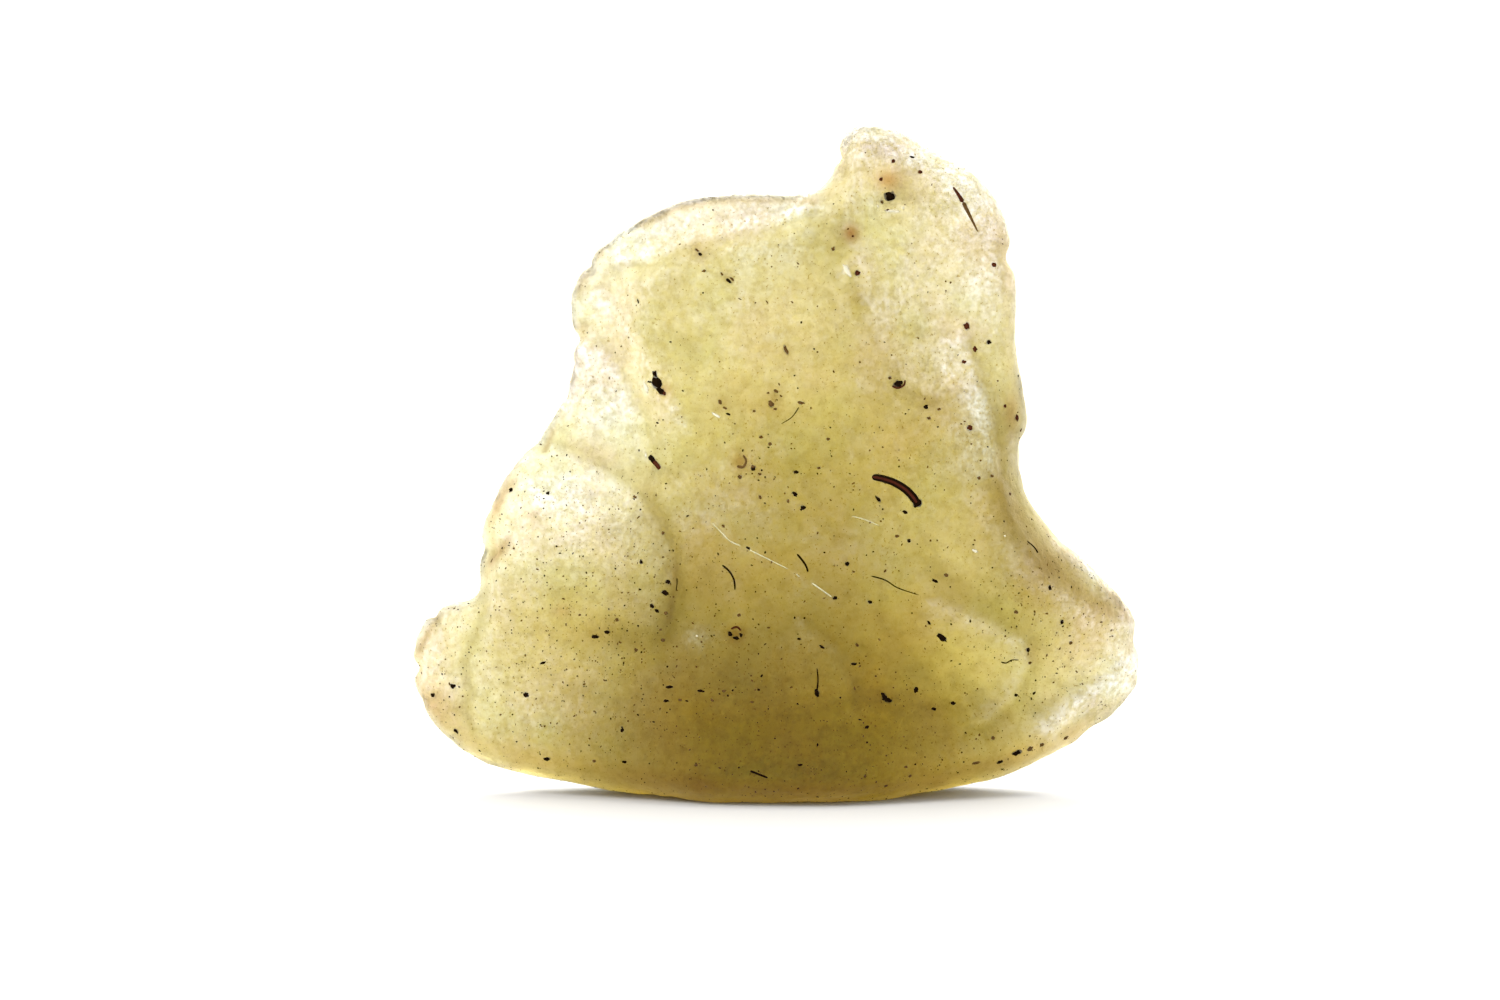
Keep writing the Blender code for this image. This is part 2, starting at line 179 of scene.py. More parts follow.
# Stains and painted shade in the surface, by colour: centre, half length and half width in columns, turn,
# strength. The shade ones are painted shade in folds, creases and hollows and on the darker sides of
# swellings, and the tan scallops, the knob's edge and the flank's foot are painted shade in chips and below
# the flank.
SHADE = (0.5, 0.44, 0.24)
RUST = (0.62, 0.26, 0.08)
BROWN = (0.4, 0.24, 0.12)
TAN = (0.66, 0.48, 0.26)
FOLD_SHADE = (0.46, 0.34, 0.16)
ROSE = (0.95, 0.72, 0.62)
CREAM = (1.0, 0.93, 0.7)
RED = (0.5, 0.2, 0.12)
STAINS_AND_SHADE = {
    SHADE: {
        # Painted shade.
        "neck_top": ((1006, 436), (20, 30), 0, 0.45), "core_left_side": ((652, 618), (34, 34), 0, 0.5),
        "pit_side": ((902, 392), (26, 22), 0, 0.35), "crease_right": ((700, 588), (24, 34), 0, 0.38),
        "foot_olive": ((720, 672), (90, 26), 6, 0.16), "neck_wide": ((1004, 470), (26, 56), 0, 0.62),
        "knob_shade": ((904, 184), (20, 20), 0, 0.55), "under_knob": ((832, 222), (22, 26), 30, 0.58),
        "neck_shade": ((1006, 413), (11, 24), 0, 0.35), "right_chip": ((1004, 256), (11, 17), 0, 0.55),
        "rim_corner": ((698, 252), (22, 8), 0, 0.35), "upper_left": ((684, 341), (15, 16), 0, 0.22),
        "speck_field": ((735, 402), (18, 9), 15, 0.3), "bulge_dark": ((566, 597), (24, 14), 0, 0.34),
        "crease_dark": ((669, 602), (8, 26), -5, 0.55), "crease_end": ((662, 640), (16, 11), 0, 0.65),
        "mid_dark": ((755, 612), (14, 10), 0, 0.28), "valley_dark": ((960, 588), (38, 11), 32, 0.25),
        "neck_edge": ((1008, 508), (15, 32), 0, 0.45), "lobe_side": ((985, 345), (24, 50), 0, 0.25),
        "flank_low": ((640, 462), (18, 30), 0, 0.22), "right_middle": ((1055, 672), (22, 26), 0, 0.25),
        "neck_low_side": ((1020, 430), (12, 24), 0, 0.35), "right_rim": ((1134, 684), (5, 16), 25, 0.45),
    },
    BROWN: {
        "smudge_1": ((773, 400), (8, 14), 20, 0.5), "smudge_3": ((722, 404), (8, 9), 30, 0.5),
        "smudge_4": ((757, 470), (9, 6), 30, 0.45), "smudge_5": ((728, 277), (10, 6), 45, 0.45),
        "smudge_6": ((698, 252), (6, 11), -30, 0.5), "smudge_7": ((786, 350), (5, 9), 0, 0.45),
        "knob_brown": ((892, 190), (9, 8), 0, 0.45), "knob_grey": ((872, 146), (20, 7), 15, 0.45),
        "edge_fold": ((859, 298), (11, 11), 0, 0.4), "pits_shade": ((930, 404), (17, 9), 20, 0.42),
        "bulge_low": ((612, 636), (36, 15), 8, 0.45), "core": ((890, 697), (31, 11), 0, 0.45),
        "core_right": ((938, 705), (26, 10), 5, 0.28), "facet_dark": ((1032, 652), (10, 14), 0, 0.5),
        "soft_dot": ((881, 616), (9, 7), 0, 0.45), "lobe_brown": ((446, 708), (14, 20), -35, 0.3),
        "right_blotch": ((1092, 704), (16, 8), -25, 0.5), "low_edge": ((990, 765), (34, 7), -5, 0.4),
        "right_rim_low": ((1107, 714), (12, 6), -30, 0.45),
    },
    TAN: {
        # The flank's foot, the scallops and the knob's edge are painted shade below the flank and in the
        # chips.
        "tan_1": ((530, 516), (11, 11), 0, 0.55), "foot_warm": ((720, 745), (120, 40), 0, 0.14),
        "knob_warm": ((905, 190), (26, 22), 0, 0.25), "flank_foot": ((600, 455), (34, 14), 12, 0.55),
        "scallop_1": ((600, 254), (5, 9), 25, 0.55), "scallop_2": ((581, 286), (7, 17), 20, 0.65),
        "scallop_3": ((583, 329), (9, 12), 0, 0.6), "scallop_5": ((497, 508), (6, 14), 35, 0.55),
        "scallop_6": ((497, 553), (8, 12), 40, 0.6), "knob_edge": ((839, 158), (5, 14), 10, 0.55),
    },
    RUST: {
        "lobe_spot": ((562, 610), (10, 7), 0, 0.4), "right_red": ((1012, 414), (8, 20), 0, 0.6),
        "knob_rust": ((888, 180), (13, 10), 0, 0.85), "wedge_rust": ((664, 391), (7, 8), 0, 0.65),
        "ring_stain": ((741, 462), (9, 9), 0, 0.65), "low_ring": ((736, 634), (10, 9), 0, 0.65),
    },
    ROSE: {
        "right_rose": ((1086, 625), (34, 30), 0, 0.25), "left_rose": ((440, 680), (22, 34), 0, 0.2),
        "lobe_rose": ((930, 300), (60, 100), 20, 0.14),
    },
    CREAM: {
        "under_bulge": ((585, 563), (46, 18), -15, 0.6),
    },
    RED: {
        "red_spot": ((851, 233), (9, 10), 0, 1),
    },
}
# White bloom on the frosted skin, which is partly painted highlight where the flanks, the bulge's top, the
# knob and the rims face the light: centre, half length and half width in columns, turn and strength.
FROST_AND_HIGHLIGHT = {
    "left_flank": ((605, 300), (36, 60), 10, 0.2), "low_flank": ((602, 400), (30, 50), 0, 0.32),
    "bulge": ((572, 505), (62, 48), 0, 0.26), "bulge_peak": ((568, 500), (34, 20), 25, 0.26),
    "bulge_low": ((585, 565), (50, 34), 0, 0.08), "left_side": ((520, 560), (30, 90), 25, 0.12),
    "left_lobe": ((436, 670), (30, 65), 0, 0.18), "knob": ((905, 165), (80, 60), 35, 0.2),
    "right_edge": ((990, 240), (35, 100), -10, 0.15), "upper_middle": ((745, 310), (120, 80), 0, 0.085),
    "right_lobe_top": ((940, 305), (50, 95), 20, 0.24), "pale_vein_side": ((715, 500), (45, 45), 0, 0.1),
    "right_middle": ((915, 560), (60, 60), 0, 0.06), "upper_rim": ((760, 240), (60, 26), 0, 0.14),
    "under_bulge": ((602, 548), (32, 24), -30, 0.08), "light_spot": ((697, 638), (12, 9), 0, 0.35),
    "light_spot_2": ((637, 596), (9, 9), 0, 0.12), "left_side_top": ((515, 515), (18, 34), 25, 0.14),
    "low_left": ((520, 700), (95, 62), 5, 0.21), "right_lobe": ((1110, 650), (58, 90), 0, 0.3),
    "low_right": ((1030, 720), (90, 40), -20, 0.12), "right_slope": ((985, 610), (40, 60), -15, 0.08),
    "right_shoulder": ((985, 390), (22, 80), 0, 0.12),
}
# The same along lines: points, half width in columns and strength. The rim band is partly painted highlight.
FROST_AND_HIGHLIGHT_LINES = {
    "rim_band": ([(622, 258), (660, 232), (700, 217), (760, 212), (815, 208)], 12, 0.36),
    "knob_top": ([(850, 134), (905, 150), (960, 178), (998, 228)], 14, 0.2),
    "right_band": ([(1044, 728), (1078, 711), (1108, 692), (1128, 670)], 16, 0.45),
    "flange": ([(1060, 542), (1086, 562), (1110, 584)], 8, 0.5),
    "neck_edge": ([(1011, 436), (1012, 456), (1009, 474)], 4, 0.3),
}
# Where the skin is clearer: centre, half sizes, turn, and the share of the bloom that is missing.
CLEAR_PLACES = {
    "foot": ((790, 735), (195, 112), 0, 1), "right_foot": ((915, 690), (90, 80), 0, 0.7),
    "middle": ((840, 440), (100, 70), 0, 0.3),
}
EVEN_FROST = 0.05
BACK_FROST_SHARE = 0.5
FROST_WAVE_MM = 2.8
FROST_SEED = (31.0, 3.0, 17.0)
FROST_WAVE_SHARE = 0.38
# Stains and painted shade along lines, by colour: points, half width in columns and strength. The shade lines
# and the fold lines are painted shade in creases and folds, the brown ones painted shade in the notches along
# the left edge and in the crease's core, and the tan ones darker bands along the rims and under the right
# band.
STAIN_AND_SHADE_LINES = {
    SHADE: {
        # Painted shade in the creases and the valley.
        "bulge_crease": ([(648, 505), (662, 530), (670, 556), (674, 580), (670, 606), (662, 632)], 11,
            0.75),
        "lobe_crease": ([(484, 558), (483, 612), (474, 640), (467, 660), (470, 692), (464, 706), (475,
            740)], 5, 0.3),
        "valley": ([(935, 570), (965, 590), (1000, 612), (1030, 636)], 13, 0.45),
    },
    FOLD_SHADE: {
        # Painted shade in the neck's fold.
        "neck_side": ([(1004, 486), (1016, 514), (1030, 540), (1048, 564)], 19, 0.85),
        "neck_fold": ([(1048, 564), (1066, 580), (1090, 598), (1110, 612)], 11, 0.7),
    },
    BROWN: {
        # Painted shade in the notches along the left edge and in the crease's core.
        "upper_notch": ([(553, 431), (549, 441), (545, 451)], 3.5, 0.7),
        "left_notch": ([(508, 540), (500, 552), (490, 563)], 4, 0.7),
        "left_rim": ([(516, 480), (505, 493), (497, 508)], 3.5, 0.6),
        "lobe_rim": ([(440, 616), (428, 630), (420, 650)], 3.5, 0.5),
        "crease_core": ([(676, 568), (675, 590), (668, 622)], 3.5, 0.55),
    },
    TAN: {
        "right_rim": ([(1000, 232), (1009, 262), (1008, 300), (1010, 350), (1016, 396)], 8, 0.35),
        "under_right_band": ([(1070, 732), (1096, 714), (1120, 700)], 8, 0.5),
        "low_left_rim": ([(436, 704), (470, 742), (520, 758), (580, 769), (640, 779), (700, 786)], 16,
            0.7),
        "low_rim": ([(700, 786), (760, 790), (840, 791), (900, 788), (940, 782)], 9, 0.6),
        "low_right_rim": ([(940, 782), (1000, 764), (1050, 745), (1090, 728)], 10, 0.6),
        "top_rim": ([(640, 226), (680, 208), (720, 201), (770, 200), (815, 201)], 3.5, 0.6),
        "left_edge": ([(514, 468), (498, 500), (489, 530), (496, 548), (487, 574)], 5, 0.55),
        "left_lobe_edge": ([(438, 620), (418, 650), (416, 680), (432, 706), (446, 728)], 4, 0.5),
        "flange_edge": ([(1100, 584), (1118, 602), (1128, 620)], 3.5, 0.5),
    },
}
ROSE_TINT = (1, 0.945, 0.93)
GREEN_TINT = (0.945, 0.975, 0.9)
CLEAR_TINT = (1, 0.995, 0.98)
# The soft noise of the tints and the bloom: how fast its octaves fade, and the gap between them.
CLOUD_FALL = 1.0
CLOUD_GAP = 2.1
TINT_WAVE_MM = 5.0
TINT_SEED = (5.0, 9.0, 2.0)
TINT_EDGE = 0.45
# Painted shade in the hollows and painted highlight, laid as bloom, on the crests: the hollow's depth that
# counts as one, and the shares.
HOLLOW_STEPS = 24
HOLLOW_MM = 0.06
HOLLOW_SHADE = 0.30
MOST_HOLLOW_SHADE = 0.60
CREST_HIGHLIGHT = 0.07
MOST_CREST_HIGHLIGHT = 0.20
EDGE_FROST = 0.42
SIDE_TINT = (0.93, 0.84, 0.6)
# The thick foot's skin is yellower and scatters a little: colour, bloom, the heights between which this fades
# out, its middle, and the distances from there over which it fades out, in millimetres.
FOOT_TINT = (0.95, 0.84, 0.07)
FOOT_FROST = 0.045
FOOT_TINT_HEIGHTS = (6, 15)
FOOT_TINT_X = 1.0
FOOT_TINT_REACH = (6, 17)

# The skin's fine look, as noises: scale per metre, detail and roughness.
MOTTLE_NOISE = (1100, 7, 0.75)
PEPPER_NOISE = (5200, 2, 0.5)
SUGAR_NOISE = (2600, 4, 0.5)
GLOSS_NOISE = (180, 4, 0.5)
GRAIN_NOISE = (1700, 3, 0.6)
# The noise values between which the skin turns from a darker colour to its own, and that colour.
MOTTLE_SHADES = (0.36, 0.56, (0.7, 0.66, 0.56))
PEPPER_SHADES = (0.27, 0.36, (0.42, 0.32, 0.18))
# The middle of a noise's values, and what it is spread over for the bloom and for the roughness.
NOISE_MIDDLE = (0.35, 0.65)
SUGAR_RANGE = (0.48, 1.52)
ROUGHNESS_RANGE = (0.32, 0.5)
GRAIN_STRENGTH = 0.65
GRAIN_MM = 0.12
MARK_DETAIL = 3.0
MARK_BUMP_STRENGTH = 0.5
MARK_BUMP_MM = 0.05

# Dark grains and pit fillings on the front: column, row, half length, half width and turn, by region.
DARK_GRAINS = {
    "knob": [
        (890, 196, 8, 6.2, 10), (882, 202, 3.2, 3, 0), (912, 157, 4, 1.6, 15), (833, 249, 3.2, 2.8, 0),
    ],
    "upper_left": [
        (700, 254, 3.6, 2.4, 40), (722, 274, 3.2, 1.8, 60), (729, 281, 4.6, 2.6, 45),
        (704, 271, 3, 2.2, 0), (638, 301, 4, 1.4, 60), (767, 302, 3.4, 1.2, 50), (792, 302, 3, 1.2, 40),
        (740, 299, 3.2, 1, 30),
    ],
    "wedge_pit": [
        (655, 374, 5.4, 3.4, 80), (657, 383, 8.4, 5.6, 78), (661, 391, 7.6, 4.2, 45),
        (650, 382, 3.6, 1.8, 0),
    ],
    "centre": [
        (728, 414, 4, 1.8, 20), (754, 411, 3, 2, 0), (761, 437, 3.4, 2.4, 10), (770, 444, 3.2, 2.8, 0),
        (828, 439, 3, 2.5, 20), (740, 477, 3.4, 3.2, 0), (753, 469, 3.8, 3.2, 0), (796, 472, 3.8, 2.6, 0),
        (819, 468, 3, 2.3, 0), (795, 494, 4.4, 3, 40), (788, 501, 3.2, 1.9, 80), (760, 497, 3.2, 2.3, 70),
        (803, 508, 3.9, 3.6, 0), (723, 526, 3.4, 2, 40), (748, 548, 4, 2, 35), (897, 536, 3.3, 2.3, 0),
        (909, 541, 3.7, 2.9, 20), (878, 499, 6, 2.2, 48), (905, 512, 4.2, 2.6, 20),
        (979, 478, 3.2, 2.7, 0), (992, 476, 3.2, 2.8, 0), (847, 564, 3.8, 3.5, 0), (885, 571, 3, 2, -40),
        (835, 598, 3.7, 3.4, 0), (890, 378, 3.5, 2.8, 0), (898, 384, 6.8, 4.8, -15),
        (926, 407, 3.8, 3.2, 0), (939, 409, 3, 2.6, 0), (929, 418, 3.2, 2.6, 0), (989, 342, 3.8, 3.2, 0),
    ],
    "left": [
        (548, 493, 3.8, 3.1, 10), (511, 490, 4, 3, -60), (635, 497, 3.5, 2.3, 40),
        (663, 533, 3.2, 2.4, 80), (641, 562, 3.7, 2.9, 80), (668, 582, 4, 3.5, 0), (665, 593, 5, 3.8, 20),
        (652, 606, 4, 3, 70), (657, 611, 4, 2.6, 30), (666, 613, 3.4, 3, 0), (617, 620, 3.3, 2.8, 70),
        (595, 637, 5.4, 2.8, 0), (607, 632, 4.2, 3, 0), (543, 663, 5, 1.9, -30), (636, 650, 3.4, 2.8, 50),
        (663, 640, 3.4, 2.8, 0), (526, 695, 4.7, 3.9, 20), (622, 730, 4, 2.7, -70),
        (453, 686, 4.2, 3.7, 0), (456, 731, 5, 3, 60), (433, 695, 4, 3.4, 0),
    ],
    "foot": [
        (669, 687, 5.6, 2.2, 0), (666, 701, 4.5, 2.4, 0), (680, 700, 3.2, 2.3, 0), (701, 691, 5, 2, 0),
        (712, 700, 3.2, 2.2, 40), (724, 691, 3.4, 1.8, 0), (752, 702, 3.4, 1.6, 0),
        (730, 634, 4.4, 3.4, 60), (736, 638, 4.6, 3, 10), (741, 635, 3.6, 2.8, 70),
        (739, 615, 3.1, 2.9, 0), (547, 759, 5, 2.8, 0), (594, 761, 3.4, 2.3, 0), (624, 762, 4, 2.3, -10),
        (696, 765, 3.4, 2, -15), (800, 765, 4.2, 1.6, 0), (817, 693, 6.2, 2.9, 80), (822, 647, 4.4, 2, 30),
        (799, 639, 3.6, 1.7, 15), (857, 645, 3.5, 2.3, 50), (870, 602, 3.8, 2.5, 25),
        (929, 623, 4, 1.9, 60), (942, 638, 8, 3.2, 40), (916, 690, 4.4, 3.4, 80), (884, 697, 6.6, 3.4, 65),
        (887, 700, 6.6, 3, 10), (854, 664, 4.8, 2, 0), (934, 709, 4, 2.4, 0), (953, 703, 4.2, 2.8, 0),
        (867, 727, 3.6, 2.3, -20), (865, 776, 3.2, 2.4, 70), (886, 786, 3.2, 2.6, 0),
        (910, 776, 3.2, 2.3, 0), (906, 767, 3.2, 2, 0),
    ],
    "right": [
        (935, 581, 5, 2.3, 25), (946, 575, 3.4, 3, 0), (1016, 612, 3.5, 3, 70), (1050, 588, 4.2, 2.4, 80),
        (1062, 622, 4, 2.7, 85), (1071, 643, 3.3, 2.9, 80), (1028, 650, 3.8, 3.2, 60),
        (1030, 663, 3.4, 2.8, 0), (1034, 693, 3.6, 2, -40), (1016, 695, 4, 2.3, 10),
        (993, 738, 3.2, 2.9, 0), (1017, 753, 6.4, 3.8, -10), (1000, 762, 5, 2.6, 0),
    ],
}
# Olive-brown grains, in the same terms.
BROWN_GRAINS = {
    "low_right": [
        (1030, 749, 5, 4, -20), (1042, 745, 4.2, 3.6, 0), (1066, 738, 4.2, 3, -20), (976, 763, 6, 2.4, 0),
    ],
    "centre": [
        (776, 391, 4, 2.4, 30), (771, 404, 5, 3.8, 60), (775, 409, 3.4, 2, 0), (801, 403, 5.2, 2.4, 10),
        (720, 402, 4.4, 2.6, 60), (725, 408, 3.6, 2, 20), (768, 393, 2.6, 1.6, 0),
        (781, 396, 2.6, 1.5, 40), (779, 384, 2.8, 1.4, 70), (753, 467, 4.4, 3, 20), (760, 474, 3.2, 2, 0),
        (732, 279, 4.4, 1.8, 45), (786, 350, 6, 2.6, 72), (697, 250, 4.8, 2, 50), (704, 271, 3.4, 2, 0),
    ],
}
# Rust-red grains, in the same terms.
RUST_GRAINS = {
    "upper": [
        (893, 161, 3.4, 3, 0), (888, 210, 2.7, 2.5, 0), (920, 172, 3.4, 3.1, 0), (857, 273, 4.8, 4.5, 0),
        (853, 236, 2.4, 2, 0), (848, 229, 2.2, 1.6, 0), (994, 265, 4, 3.4, 0), (967, 326, 5.3, 4.4, 80),
        (975, 349, 4.3, 3.4, 75), (964, 362, 4, 2.8, 30), (970, 428, 4.4, 4.1, 0),
        (1005, 406, 3.2, 2.8, 0), (1017, 418, 5.4, 3.6, 80), (1021, 430, 3, 2.6, 0),
        (1010, 494, 2.8, 2.6, 0), (664, 393, 4.4, 3, 40), (881, 179, 3.6, 3, 0),
    ],
}
# Pale chips in the surface, and pale grains that are painted glints and painted light crescents below the
# pits, in the same terms.
PALE_CHIPS_AND_GLINTS = {
    "upper": [
        (847, 270, 8, 2.6, 58), (646, 388, 7, 2.8, 75), (892, 211, 9, 2, 0), (903, 208, 3.2, 1.8, 70),
        (646, 455, 4, 1.6, 75), (716, 415, 6.5, 1.8, 30), (878, 206, 3, 1.6, 60),
    ],
    "lower": [
        (975, 551, 4.6, 2.4, 20), (1005, 536, 2, 1.6, 0), (697, 636, 2, 1.6, 0),
    ],
}
# Threads on the front: points, half width at the start and at the end in columns. The thickest one has a knob
# at its end (half length, half width and turn) and a core of another colour. All taper at both ends: the
# power says how late, and the tip is how much of the squared width is left.
WORM_END = (6.6, 6.0, 0)
THREAD_TAPER = 8
THREAD_TIP = 0.05
WORM_CORE_SHARE = 0.48
WORM = ([(872, 477), (880, 478), (893, 482), (905, 489), (913, 497), (917, 503)], 3.4, 4.4)
DARK_THREADS = {
    "rod_start": ([(649, 456), (652, 459), (654, 462)], 2.8, 3),
    "hook": ([(722, 565), (729, 571), (734, 580), (735, 590)], 1.1, 0.9),
    "short": ([(797, 554), (802, 560), (806, 566), (808, 572)], 1.1, 1),
    "long": ([(871, 576), (885, 580), (898, 588), (919, 595)], 0.8, 0.5),
    "low": ([(750, 771), (758, 774), (768, 778)], 1.3, 0.9),
    "wavy": ([(1001, 662), (1006, 663), (1012, 660), (1019, 660)], 0.8, 0.5),
    "stalk": ([(817, 668), (818, 680), (817, 690)], 0.6, 1),
    "right_thread": ([(1027, 541), (1034, 547), (1038, 553)], 0.8, 1.2),
    "curl": ([(799, 407), (792, 417), (781, 424)], 0.6, 0.4),
    "crease_arc": ([(677, 578), (677, 584), (676, 591)], 0.7, 0.5),
}
BROWN_THREADS = {
    "streak": ([(963, 202), (968, 212), (973, 222), (978, 232)], 2.4, 0.7),
    "ring": ([(737, 466), (743, 467), (746, 461), (743, 455)], 1.6, 1.2),
}
RUST_THREADS = {
    "streak_top": ([(953, 187), (958, 194), (963, 202)], 1, 2.6),
    "rod": ([(652, 460), (656, 464), (660, 469)], 2.9, 2.7),
    "low_ring": ([(731, 629), (737, 627), (741, 631)], 1.4, 1),
    "upper_ring": ([(892, 386), (898, 388), (904, 385), (905, 380)], 1.2, 0.9),
}
PALE_THREADS = {
    "upper_vein": ([(712, 523), (722, 533), (730, 541), (741, 546)], 0.35, 0.45),
    "middle_vein": ([(748, 549), (762, 556), (776, 563), (788, 569)], 0.45, 0.35),
    "vein_end": ([(796, 574), (800, 577)], 0.4, 0.3),
    "lower_vein": ([(812, 583), (822, 590), (832, 597)], 0.75, 0.5),
    "right_vein": ([(852, 516), (866, 520), (880, 526)], 0.35, 0.35),
}
# The marks' looks: dark and light colour, scale of the clouds per metre, roughness and gloss.
MARK_LOOKS = {
    "dark_grains": ((0.002, 0.0012, 0.0008), (0.02, 0.01, 0.004), 4000, 0.7, 0),
    "brown_grains": ((0.03, 0.014, 0.004), (0.19, 0.105, 0.03), 4000, 0.6, 0.05),
    "rust_grains": ((0.02, 0.004, 0.002), (0.11, 0.028, 0.008), 3000, 0.6, 0.05),
    "worm_inclusion": ((0.03, 0.006, 0.003), (0.09, 0.018, 0.007), 2500, 0.5, 0.05),
    "pale_veins": ((0.5, 0.49, 0.3), (0.74, 0.73, 0.52), 3000, 0.5, 0.4),
    "pale_chips_and_glints": ((0.58, 0.54, 0.36), (0.82, 0.78, 0.6), 3000, 0.5, 0.5),
}
# The fine grains: how many, the share on the front, their half sizes in millimetres, and the dark share.
FINE_GRAINS = 4200
FINE_FRONT_SHARE = 0.6
FINE_GRAIN_MM = (0.026, 0.085)
FINE_DARK_SHARE = 0.4
# Their sizes lean to the small end by this power; the rest is their stretch, flatness and depth in the skin.
FINE_SIZE_BIAS = 2.2
FINE_STRETCH = 1.2
FINE_FLATNESS = 0.6
FINE_SUNK = 0.25
FINE_GRAIN_SEED = 23
# Where the fine grains crowd: how far the skin turns on the front and on the back, the rows over which they
# thicken downwards and by how much, and ovals with their strengths.
CROWD_TURNS = (-0.2, 0.1)
CROWD_BASE = 0.2
CROWD_ROWS = (330.0, 640.0)
CROWD_LOW = 0.6
CROWD_BACK = 0.4
CROWDS = {
    "bulge": ((585, 620), (110, 90), 0, 2.2), "right": ((1050, 640), (70, 70), 0, 1.2),
    "band": ((790, 470), (130, 60), 0, 0.4),
}
# A named grain of at least this half length, in columns, goes to the first of its shells.
LARGE_GRAIN = 3.6
# Each named grain is drawn at a share of its stated size, and the larger ones at more of it.
SMALL_GRAIN_SCALE = 0.47
GRAIN_SCALE_RISE = 0.045
GRAIN_UNEVENNESS = 0.32


def camera_axes():
    """Return the camera's place and its right, up and forward directions."""
    elevation = math.radians(CAMERA_ELEVATION_DEG)
    forward = np.array((0.0, math.cos(elevation), -math.sin(elevation)))
    up = np.array((0.0, math.sin(elevation), math.cos(elevation)))
    distance = FRAME_WIDTH_MM * MM * LENS_MM / SENSOR_MM
    eye = np.array(CAMERA_TARGET_MM) * MM - distance * forward
    return eye, np.array((1.0, 0.0, 0.0)), up, forward


def frame_places(points):
    """Return where the camera sees each point, as (column, row)."""
    eye, right, up, forward = camera_axes()
    focal = LENS_MM / SENSOR_MM * FRAME_SIZE[0]
    depth = (points - eye) @ forward
    column = 0.5 * FRAME_SIZE[0] + focal * ((points - eye) @ right) / depth
    row = 0.5 * FRAME_SIZE[1] - focal * ((points - eye) @ up) / depth
    return np.column_stack([column, row])


def smooth_step(low, high, value):
    share = np.clip((value - low) / (high - low), 0.0, 1.0)
    return share * share * (3.0 - 2.0 * share)


def distance_to_line(places, points):
    """Return each place's distance to the line, and on which side it lies: 1 to the right, going along."""
    nearest = np.full(len(places), np.inf)
    side = np.ones(len(places))
    points = np.array(points, dtype=float)
    for start, end in zip(points[:-1], points[1:]):
        run = end - start
        along = np.clip((places - start) @ run / (run @ run), 0.0, 1.0)
        offset = places - start - along[:, None] * run
        distance = np.hypot(*offset.T)
        closer = distance < nearest
        nearest[closer] = distance[closer]
        side[closer] = np.sign(run[0] * offset[closer, 1] - run[1] * offset[closer, 0])
    return nearest, side


def within_ends(places, line):
    """Return a share that is 1 beside the line and fades beyond its two ends."""
    points = np.array(line, dtype=float)
    share = np.ones(len(places))
    for end, inner in ((points[0], points[1]), (points[-1], points[-2])):
        outward = (end - inner) / np.linalg.norm(end - inner)
        over = np.clip((places - end) @ outward, 0.0, None)
        share *= np.exp(-((over / EDGE_END) ** 2))
    return share


def beside_line(places, line, half_width):
    """Return a smooth bell across the line that is 1 on it."""
    return np.exp(-(distance_to_line(places, line)[0] / half_width) ** 2)


def one_sided(places, line, reach):
    """Return a share that fades from 1 at the line over the reach: to its right, or left if negative."""
    distance, side = distance_to_line(places, line)
    within = np.exp(-distance / abs(reach)) * np.where(side * reach > 0.0, 1.0, 0.0)
    beyond = np.exp(-((distance / EDGE_SOFTNESS) ** 2)) * np.where(side * reach > 0.0, 0.0, 1.0)
    share = smooth_step(0.0, EDGE_SOFTNESS, distance) * within * 0.5 + 0.5 * (within + beyond)
    return share * within_ends(places, line)


def oval(places, centre, half_sizes, turn):
    """Return a smooth bell that is 1 at the centre; the turn is clockwise in the frame."""
    offset = places - centre
    turn = math.radians(turn)
    along = (offset[:, 0] * math.cos(turn) + offset[:, 1] * math.sin(turn)) / half_sizes[0]
    across = (offset[:, 1] * math.cos(turn) - offset[:, 0] * math.sin(turn)) / half_sizes[1]
    return np.exp(-(along ** 2) - across ** 2)


def mesh_arrays(mesh):
    count = len(mesh.vertices)
    points = np.empty(count * 3, dtype=np.float32)
    normals = np.empty(count * 3, dtype=np.float32)
    mesh.vertices.foreach_get("co", points)
    mesh.vertex_normals.foreach_get("vector", normals)
    return points.reshape(-1, 3).astype(float), normals.reshape(-1, 3).astype(float)


def wave_heights(points):
    """Return the relief that runs all over the stone, in millimetres."""
    total = np.zeros(len(points))
    for (wavelength, height), seed in zip(WAVES_MM, WAVE_SEEDS):
        shift = Vector((seed, 2.0 * seed, -seed))
        scaled = points / (wavelength * MM)
        total += height * np.array([noise.noise(Vector(place) + shift) for place in scaled])
    return total


def wander(points):
    """Return how far the scallops' edges stray at each point, as x and z in millimetres."""
    shifts = [Vector(seed) for seed in WANDER_SEEDS]
    scaled = [Vector(place) for place in points / (WANDER_WAVE_MM * MM)]
    return WANDER_MM * np.array([[noise.noise(place + shift) for shift in shifts] for place in scaled])


def pit_heights(points):
    """Return shallow round pits, scattered over the stone, in millimetres."""
    random = np.random.default_rng(PIT_SEED)
    chosen = random.choice(len(points), PIT_COUNT, replace=False)
    total = np.zeros(len(points))
    low, high = PIT_RADIUS_MM
    for index in chosen:
        radius = low + (high - low) * random.random() ** 2
        gap = np.sum((points - points[index]) ** 2, axis=1) / (radius * MM) ** 2
        near = gap < 6.0
        total[near] -= PIT_DEPTH_SHARE * radius * np.exp(-gap[near])
    return total


